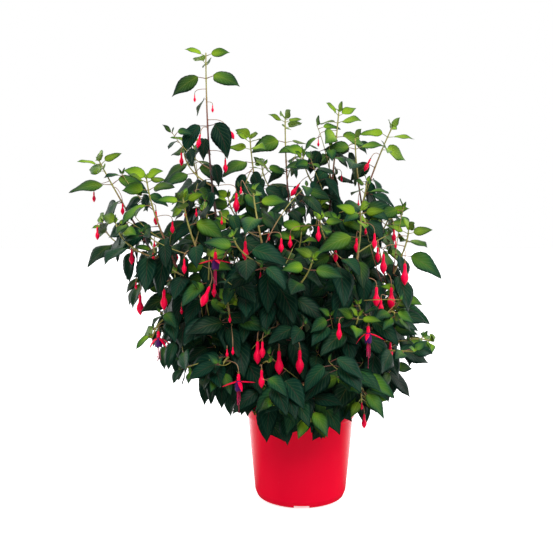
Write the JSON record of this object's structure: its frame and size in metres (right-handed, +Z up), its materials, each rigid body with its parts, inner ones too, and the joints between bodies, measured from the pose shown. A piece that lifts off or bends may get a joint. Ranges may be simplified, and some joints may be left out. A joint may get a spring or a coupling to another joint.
{
  "type": "potted fuchsia",
  "caption": "Bushy flowering shrub in a round tapered plastic nursery pot, with opposite leaves and hanging buds and bell-shaped flowers.",
  "frame": {"origin": "centre of the flat pad under the pot's base, on the surface the pot stands on", "axes": "+Z up along the pot's axis; the bush is seen from -Y, with +X to the right"},
  "size_m": [0.5567, 0.4248, 0.7067],
  "materials": {
    "pot_plastic": "gloss",
    "soil": "matte",
    "foliage": "satin",
    "bloom": "satin"
  },
  "bodies": {
    "root": {"bloom_01": "bloom", "bloom_02": "bloom", "bloom_03": "bloom", "bloom_04": "bloom", "bloom_05": "bloom", "bloom_06": "bloom", "bloom_07": "bloom", "bloom_08": "bloom", "bloom_09": "bloom", "bloom_10": "bloom", "bloom_11": "bloom", "bloom_12": "bloom", "bloom_13": "bloom", "bloom_14": "bloom", "bloom_15": "bloom", "bloom_16": "bloom", "bloom_17": "bloom", "bloom_18": "bloom", "bloom_19": "bloom", "bloom_20": "bloom", "bloom_21": "bloom", "bloom_22": "bloom", "bloom_23": "bloom", "bloom_24": "bloom", "bloom_25": "bloom", "bloom_26": "bloom", "bloom_27": "bloom", "bloom_28": "bloom", "bloom_29": "bloom", "bloom_30": "bloom", "bloom_31": "bloom", "bloom_32": "bloom", "bloom_33": "bloom", "bloom_34": "bloom", "bloom_35": "bloom", "bloom_36": "bloom", "leafy_stem_back_left": "foliage", "leafy_stem_back_low": "foliage", "leafy_stem_back_right": "foliage", "leafy_stem_back_right_low": "foliage", "leafy_stem_front_arch": "foliage", "leafy_stem_front_left_high": "foliage", "leafy_stem_front_left_low": "foliage", "leafy_stem_front_low": "foliage", "leafy_stem_front_right_high": "foliage", "leafy_stem_front_right_low": "foliage", "leafy_stem_left_back": "foliage", "leafy_stem_left_front": "foliage", "leafy_stem_left_high": "foliage", "leafy_stem_left_low": "foliage", "leafy_stem_mid_back": "foliage", "leafy_stem_mid_back_left": "foliage", "leafy_stem_mid_right": "foliage", "leafy_stem_right": "foliage", "leafy_stem_right_front": "foliage", "leafy_stem_right_high": "foliage", "leafy_stem_right_low": "foliage", "leafy_stem_tall": "foliage", "pot": "pot_plastic", "soil": "soil"}
  },
  "joints": []
}
